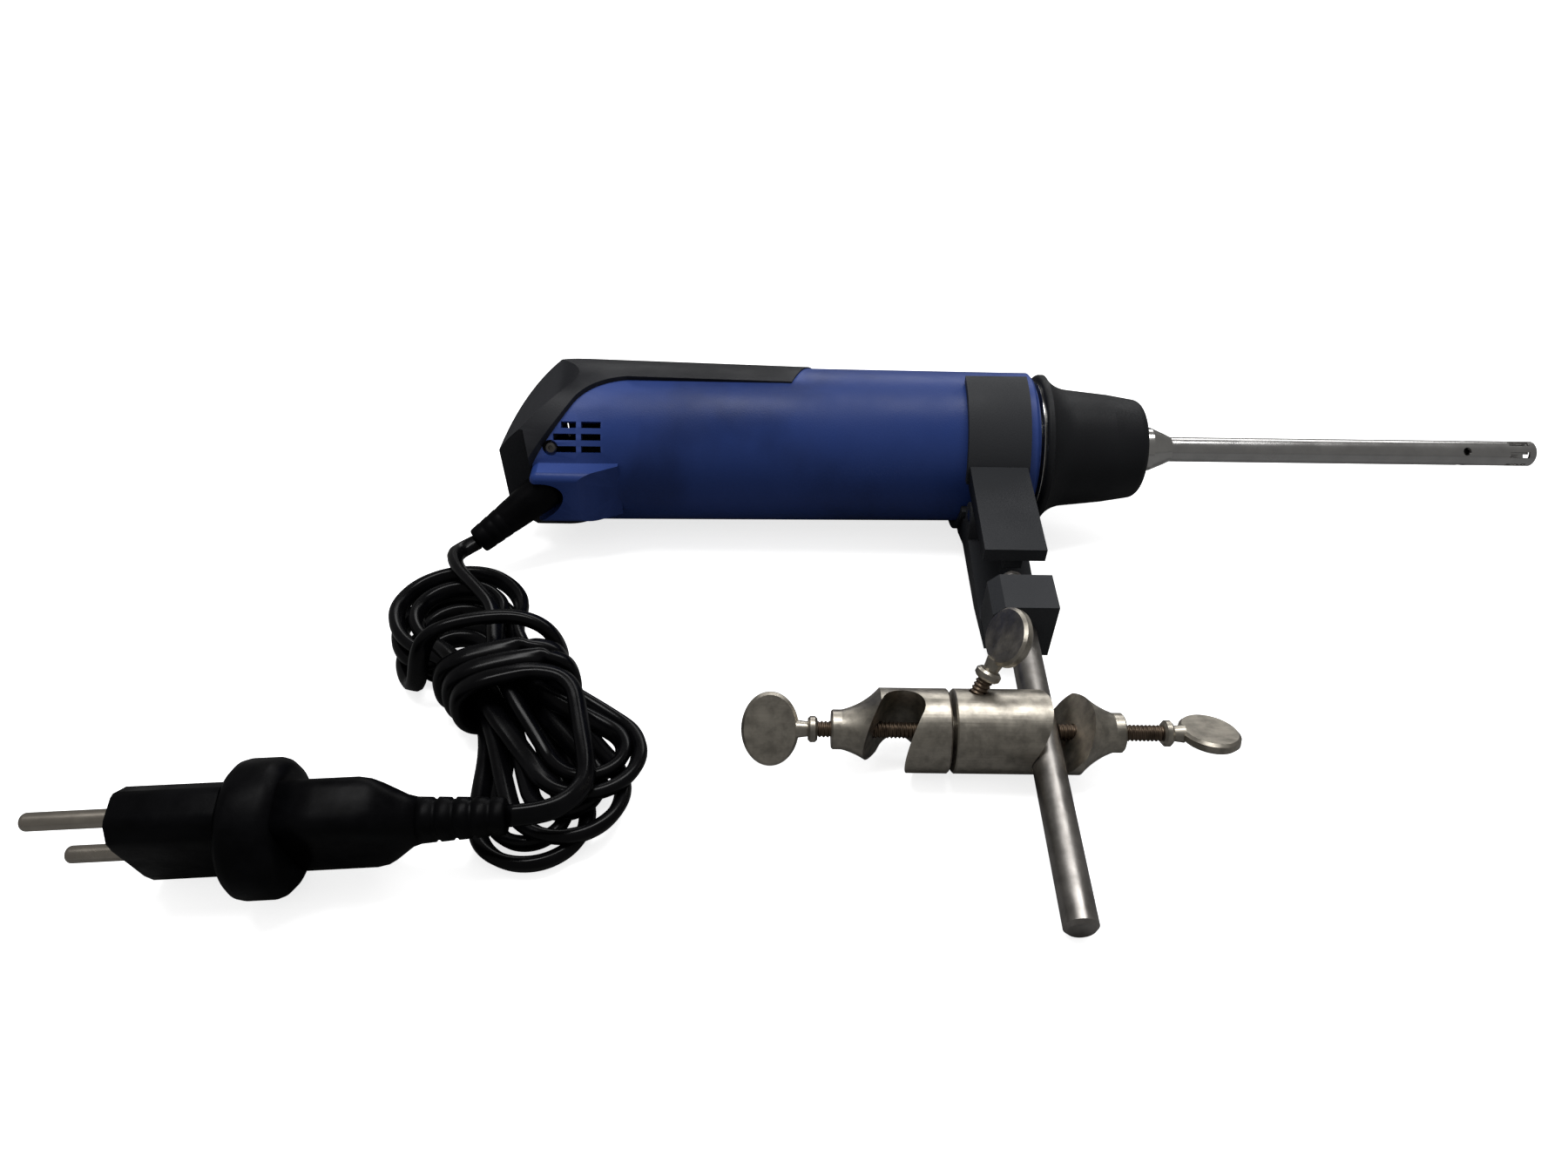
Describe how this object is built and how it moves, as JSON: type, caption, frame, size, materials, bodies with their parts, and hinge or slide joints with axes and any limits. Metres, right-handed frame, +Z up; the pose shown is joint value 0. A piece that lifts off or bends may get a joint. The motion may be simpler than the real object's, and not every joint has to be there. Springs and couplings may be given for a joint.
{
  "type": "rotor stator homogenizer",
  "caption": "Hand-held rotor stator homogenizer lying on its side, with a slotted dispersing tube, a rod holder, a swivel boss head and a gathered mains cord.",
  "frame": {"origin": "on the supporting surface, under the centre of the device without its cord and plug", "axes": "+X along the dispersing tube towards its tip, -Y towards the extension rod's end, +Z up from the surface"},
  "size_m": [0.4044, 0.1965, 0.0536],
  "materials": {
    "blue_housing": "satin moulded plastic",
    "charcoal_plastic": "satin moulded plastic",
    "black_plastic": "glossy moulded plastic",
    "black_rubber": "smooth flexible sheath",
    "polished_steel": "polished",
    "worn_nickel": "worn nickel plating",
    "rod_steel": "drawn bar",
    "dark_thread": "tarnished thread",
    "core_steel": "laminated",
    "flange_aluminium": "cast",
    "copper": "enamelled wire",
    "brush_brass": "drawn tube",
    "carbon": "pressed carbon",
    "board": "laminate",
    "pale_plastic": "low-friction plastic"
  },
  "bodies": {
    "housing": {"housing_shell": "blue_housing", "rear_cover": "charcoal_plastic", "housing_screws": "polished_steel", "bearing_flange": "flange_aluminium", "front_bearing": "polished_steel", "rear_bearing": "polished_steel", "motor_stator": "core_steel", "field_coils": "copper", "brush_bridge": "black_plastic", "brush_holders": "brush_brass", "carbon_brushes": "carbon", "control_board": "board", "speed_potentiometer": "pale_plastic", "capacitor": "black_plastic", "switch_body": "black_plastic", "strain_relief": "black_rubber", "cord_tail": "black_rubber", "cord_hank": "black_rubber", "cord_end": "black_rubber", "plug_relief": "black_plastic", "plug_body": "black_plastic", "plug_adapter": "black_plastic", "plug_pins": "brush_brass"},
    "motor": {"motor_shaft": "polished_steel", "armature_core": "core_steel", "armature_windings": "copper", "commutator": "copper", "cooling_fan": "black_plastic", "drive_coupling": "polished_steel"},
    "tool": {"shaft_tube": "polished_steel", "tool_collar": "polished_steel", "tool_bushings": "pale_plastic"},
    "rotor": {"rotor_shaft": "polished_steel", "rotor_tang": "polished_steel", "rotor_head": "polished_steel"},
    "collet": {"collet": "polished_steel"},
    "nut": {"nut_insert": "polished_steel", "clamp_nut": "charcoal_plastic"},
    "speed_wheel": {"speed_wheel": "charcoal_plastic"},
    "power_switch": {"power_switch": "black_plastic"},
    "holder": {"holder_base": "charcoal_plastic", "holder_pin": "polished_steel"},
    "lever": {"holder_lever": "charcoal_plastic"},
    "rod_stud": {"rod_stud": "rod_steel"},
    "extension_rod": {"extension_rod": "rod_steel"},
    "boss_right": {"boss_right": "worn_nickel"},
    "boss_left": {"boss_left": "worn_nickel", "boss_pivot": "worn_nickel"},
    "right_stud": {"right_stud": "dark_thread"},
    "left_stud": {"left_stud": "dark_thread"},
    "lock_stud": {"lock_stud": "dark_thread"},
    "right_thumb": {"right_thumb": "worn_nickel"},
    "left_thumb": {"left_thumb": "worn_nickel"},
    "lock_thumb": {"lock_thumb": "worn_nickel"}
  },
  "joints": [
    {"name": "motor_spin", "type": "hinge", "parent": "housing", "child": "motor", "pos_m": [-0.0592, 0.07083, 0.0268], "axis": [1, 0, 0], "continuous": true},
    {"name": "tool_slide", "type": "slide", "parent": "housing", "child": "tool", "axis": [1, 0, 0], "range_m": [0, 0.05]},
    {"name": "rotor_spin", "type": "hinge", "parent": "tool", "child": "rotor", "pos_m": [0.1008, 0.07083, 0.0268], "axis": [1, 0, 0], "continuous": true},
    {"name": "collet_slide", "type": "slide", "parent": "housing", "child": "collet", "axis": [1, 0, 0], "range_m": [0, 0.003]},
    {"name": "nut_turn", "type": "hinge", "parent": "collet", "child": "nut", "pos_m": [0.0208, 0.07083, 0.0268], "axis": [1, 0, 0], "range_deg": [0, 720]},
    {"name": "speed_turn", "type": "hinge", "parent": "housing", "child": "speed_wheel", "pos_m": [-0.1412, 0.08005, 0.02805], "axis": [0, -0.1341, 0.991], "range_deg": [-135, 135]},
    {"name": "switch_slide", "type": "slide", "parent": "housing", "child": "power_switch", "axis": [1, 0, 0], "range_m": [0, 0.005]},
    {"name": "holder_swivel", "type": "hinge", "parent": "housing", "child": "holder", "pos_m": [-0.0127, 0.07083, 0.0268], "axis": [1, 0, 0], "continuous": true},
    {"name": "lever_swing", "type": "hinge", "parent": "holder", "child": "lever", "pos_m": [-0.0127, 0.03777, 0.02132], "axis": [1, 0, 0], "range_deg": [0, 4]},
    {"name": "stud_feed", "type": "slide", "parent": "holder", "child": "rod_stud", "axis": [0, -0.991, -0.1341], "range_m": [0, 0.003]},
    {"name": "rod_turn", "type": "hinge", "parent": "rod_stud", "child": "extension_rod", "pos_m": [-0.0127, -0.04808, 0.01071], "axis": [0, -0.991, -0.1341], "range_deg": [0, 1080]},
    {"name": "boss_slide", "type": "slide", "parent": "extension_rod", "child": "boss_right", "axis": [0, 0.991, 0.1341], "range_m": [-0.04, 0.018]},
    {"name": "boss_swivel", "type": "hinge", "parent": "boss_right", "child": "boss_left", "pos_m": [-0.0352, -0.04471, 0.01116], "axis": [1, 0, 0], "continuous": true},
    {"name": "right_feed", "type": "slide", "parent": "boss_right", "child": "right_stud", "axis": [1, 0, 0], "range_m": [0, 0.006]},
    {"name": "right_turn", "type": "hinge", "parent": "right_stud", "child": "right_thumb", "pos_m": [0.0208, -0.04471, 0.01116], "axis": [1, 0, 0], "range_deg": [0, 2160]},
    {"name": "left_feed", "type": "slide", "parent": "boss_left", "child": "left_stud", "axis": [-1, 0, 0], "range_m": [0, 0.009]},
    {"name": "left_turn", "type": "hinge", "parent": "left_stud", "child": "left_thumb", "pos_m": [-0.0692, -0.04471, 0.01116], "axis": [-1, 0, 0], "range_deg": [0, 3240]},
    {"name": "lock_feed", "type": "slide", "parent": "boss_right", "child": "lock_stud", "axis": [0.4226, 0.3438, 0.8386], "range_m": [0, 0.002]},
    {"name": "lock_turn", "type": "hinge", "parent": "lock_stud", "child": "lock_thumb", "pos_m": [-0.03414, -0.04471, 0.01116], "axis": [0.4226, 0.3438, 0.8386], "range_deg": [0, 720]}
  ],
  "couplings": [
    {"joint": "rotor_spin", "follows": "motor_spin", "ratio": 1},
    {"joint": "collet_slide", "follows": "nut_turn", "m_per_rad": 0.00023873},
    {"joint": "lever_swing", "follows": "rod_turn", "ratio": 0.0037037},
    {"joint": "stud_feed", "follows": "rod_turn", "m_per_rad": 0.00015915},
    {"joint": "right_feed", "follows": "right_turn", "m_per_rad": 0.00015915},
    {"joint": "left_feed", "follows": "left_turn", "m_per_rad": 0.00015915},
    {"joint": "lock_feed", "follows": "lock_turn", "m_per_rad": 0.00015915}
  ]
}
